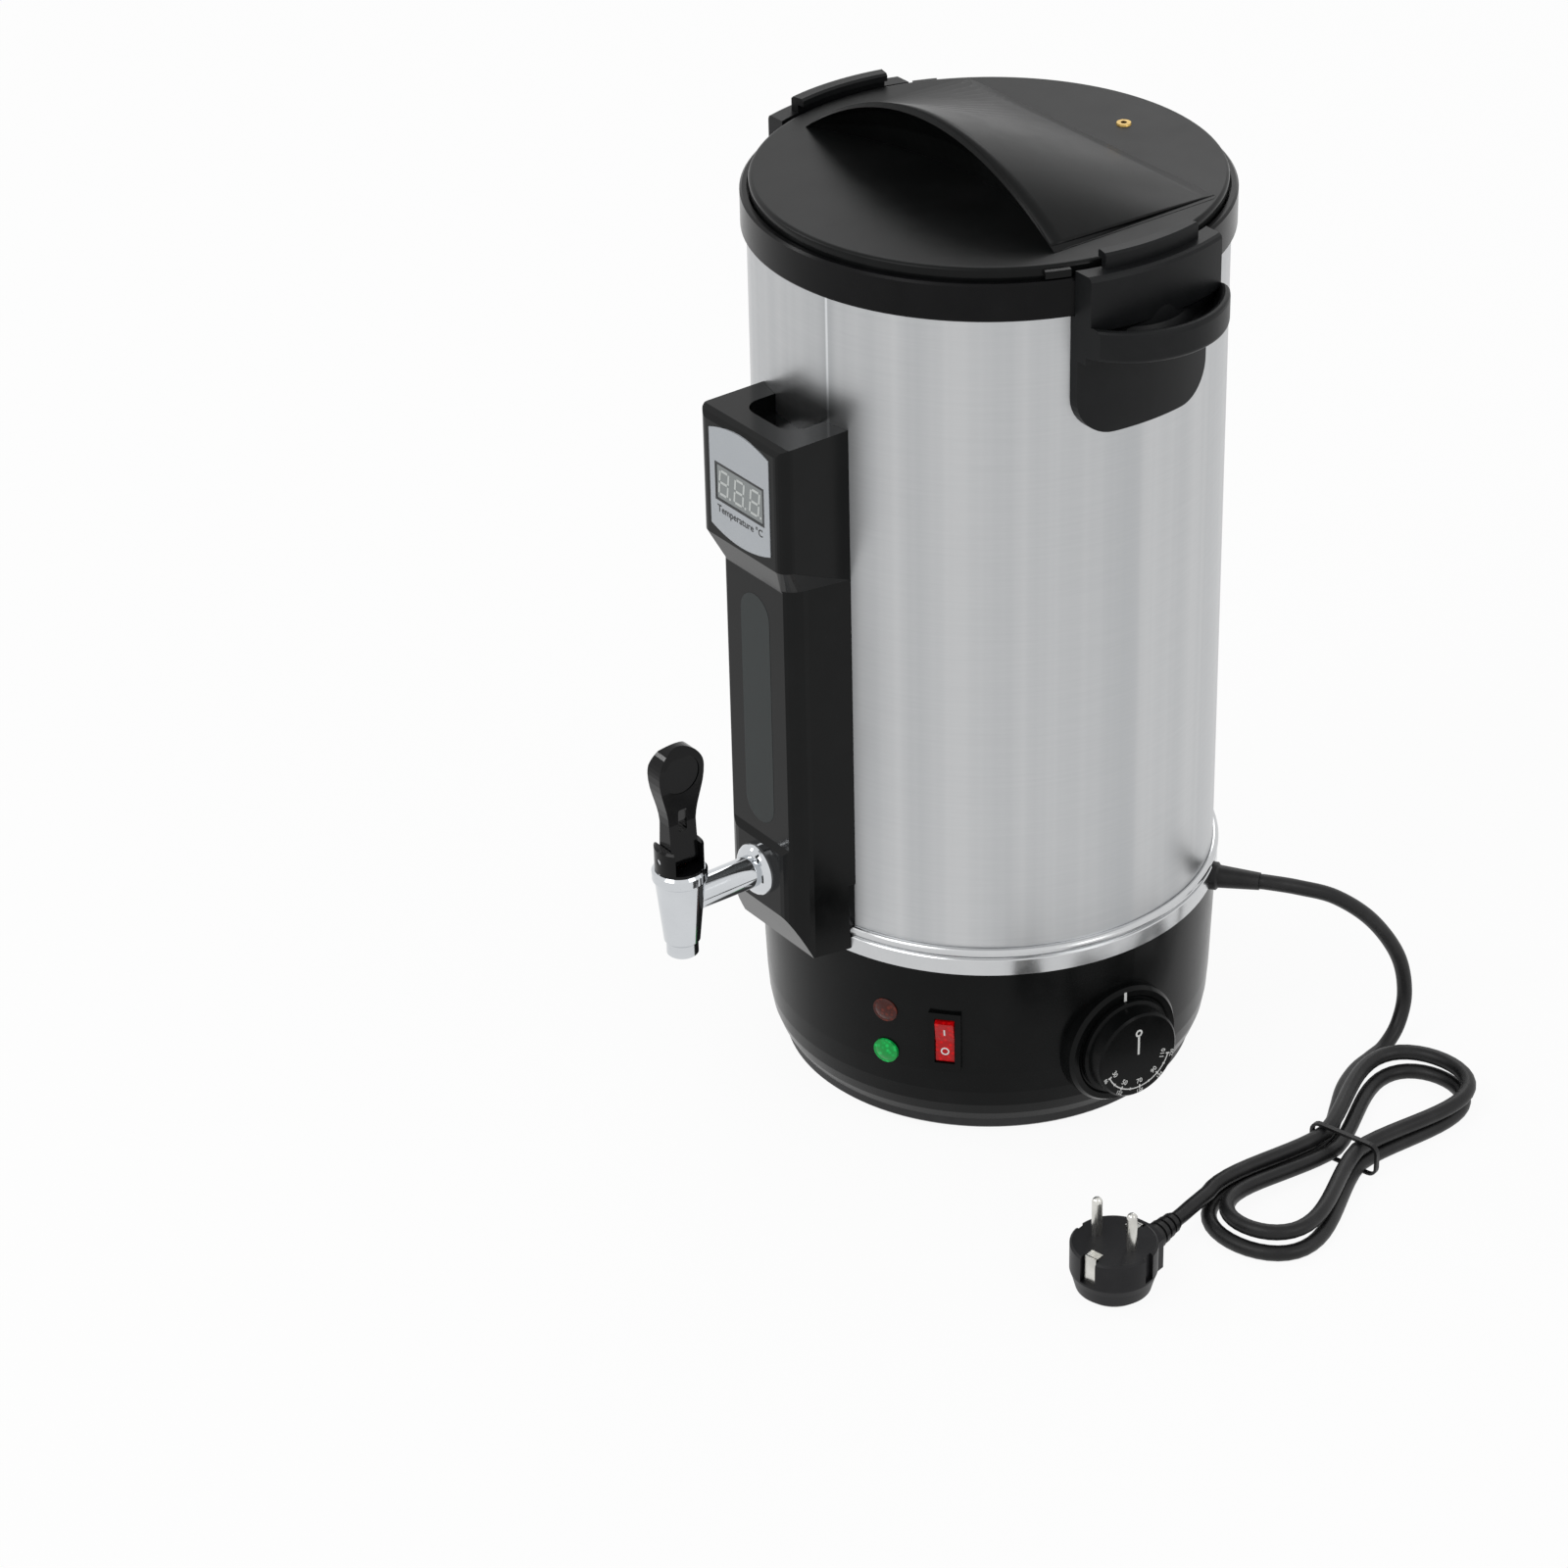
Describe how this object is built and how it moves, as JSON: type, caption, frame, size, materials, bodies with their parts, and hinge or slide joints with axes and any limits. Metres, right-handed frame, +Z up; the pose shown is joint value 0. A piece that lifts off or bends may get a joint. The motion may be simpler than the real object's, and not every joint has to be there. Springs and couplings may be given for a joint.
{
  "type": "electric candle wax melter",
  "caption": "Electric wax melting pot: steel vessel on a round black base with a twist-lock lid, two handles, a temperature column with a lever tap, a thermostat knob and a bundled mains lead.",
  "frame": {"origin": "where the vessel's axis meets the table", "axes": "+Z up along the vessel's axis; the column and tap face -Y; the handles lie on the X axis, with the controls on the +X side"},
  "size_m": [0.3728, 0.3352, 0.4734],
  "materials": {
    "black_gloss_plastic": "glossy",
    "black_satin_plastic": "satin",
    "brushed_steel": "brushed",
    "chrome": "polished",
    "plain_steel": "satin",
    "aluminium": "satin",
    "rubber": "matte",
    "cord_pvc": "satin",
    "silicone": "satin",
    "silver_plate": "satin",
    "display_glass": "glossy",
    "circuit_board": "satin",
    "red_rocker": "glossy",
    "lamp_red_lens": "glossy",
    "lamp_green_lens": "glossy",
    "ceramic": "satin",
    "brass": "polished"
  },
  "bodies": {
    "base": {"foot_pads": "rubber", "base_plate": "black_satin_plastic", "base_housing": "black_gloss_plastic", "base_screws": "plain_steel", "trim_ring": "chrome", "body_wall": "brushed_steel", "inner_pot": "brushed_steel", "rim_band": "black_gloss_plastic", "heater_plate": "aluminium", "heating_element": "plain_steel", "thermal_cutout": "plain_steel", "heat_shield": "plain_steel", "handle_right": "black_satin_plastic", "handle_left": "black_satin_plastic", "handle_screws": "plain_steel", "column_cover": "black_gloss_plastic", "column_inlay": "black_satin_plastic", "display_fascia": "silver_plate", "display_window": "display_glass", "display_board": "circuit_board", "temperature_probe": "plain_steel", "tap_flange": "chrome", "tap_pipe": "chrome", "tap_seal": "silicone", "tap_nut": "plain_steel", "tap_body": "chrome", "tap_collar": "black_gloss_plastic", "tap_pin": "plain_steel", "lamp_red": "lamp_red_lens", "lamp_green": "lamp_green_lens", "switch_frame": "black_gloss_plastic", "knob_bezel": "black_gloss_plastic", "thermostat": "plain_steel", "terminal_block": "ceramic", "cord_gland": "rubber", "cord_lead": "cord_pvc", "cord_hank": "cord_pvc", "cord_tie": "rubber", "cord_tail": "cord_pvc", "plug_relief": "cord_pvc", "plug_body": "black_satin_plastic", "plug_pins": "plain_steel", "plug_clips": "plain_steel"},
    "tap_lever": {"tap_lever": "black_gloss_plastic"},
    "tap_plunger": {"tap_plunger": "silicone"},
    "switch_rocker": {"switch_rocker": "red_rocker"},
    "thermostat_knob": {"thermostat_knob": "black_gloss_plastic"},
    "lid_carrier": {"lid_gasket": "silicone"},
    "lid": {"lid": "black_satin_plastic", "vent_eyelet": "brass"}
  },
  "joints": [
    {"name": "lid_lift", "type": "slide", "parent": "base", "child": "lid_carrier", "axis": [0, 0, 1], "range_m": [0, 0.12]},
    {"name": "lid_turn", "type": "hinge", "parent": "lid_carrier", "child": "lid", "pos_m": [0, 0, 0.44], "axis": [0, 0, 1], "range_deg": [0, 23]},
    {"name": "tap_lever_tilt", "type": "hinge", "parent": "base", "child": "tap_lever", "pos_m": [0, -0.175, 0.1599], "axis": [0, 1, 0], "range_deg": [0, 70]},
    {"name": "tap_plunger_lift", "type": "slide", "parent": "base", "child": "tap_plunger", "axis": [0, 0, 1], "range_m": [0, 0.004]},
    {"name": "switch_rocker_tilt", "type": "hinge", "parent": "base", "child": "switch_rocker", "pos_m": [0.06829, -0.07884, 0.0575], "axis": [0.7559, 0.6547, 0], "range_deg": [-16, 0]},
    {"name": "thermostat_turn", "type": "hinge", "parent": "base", "child": "thermostat_knob", "pos_m": [0.10973, -0.00767, 0.046], "axis": [0.9976, -0.0698, 0], "range_deg": [-300, 0]}
  ],
  "couplings": [
    {"joint": "tap_plunger_lift", "follows": "tap_lever_tilt", "m_per_rad": 0.003274}
  ]
}
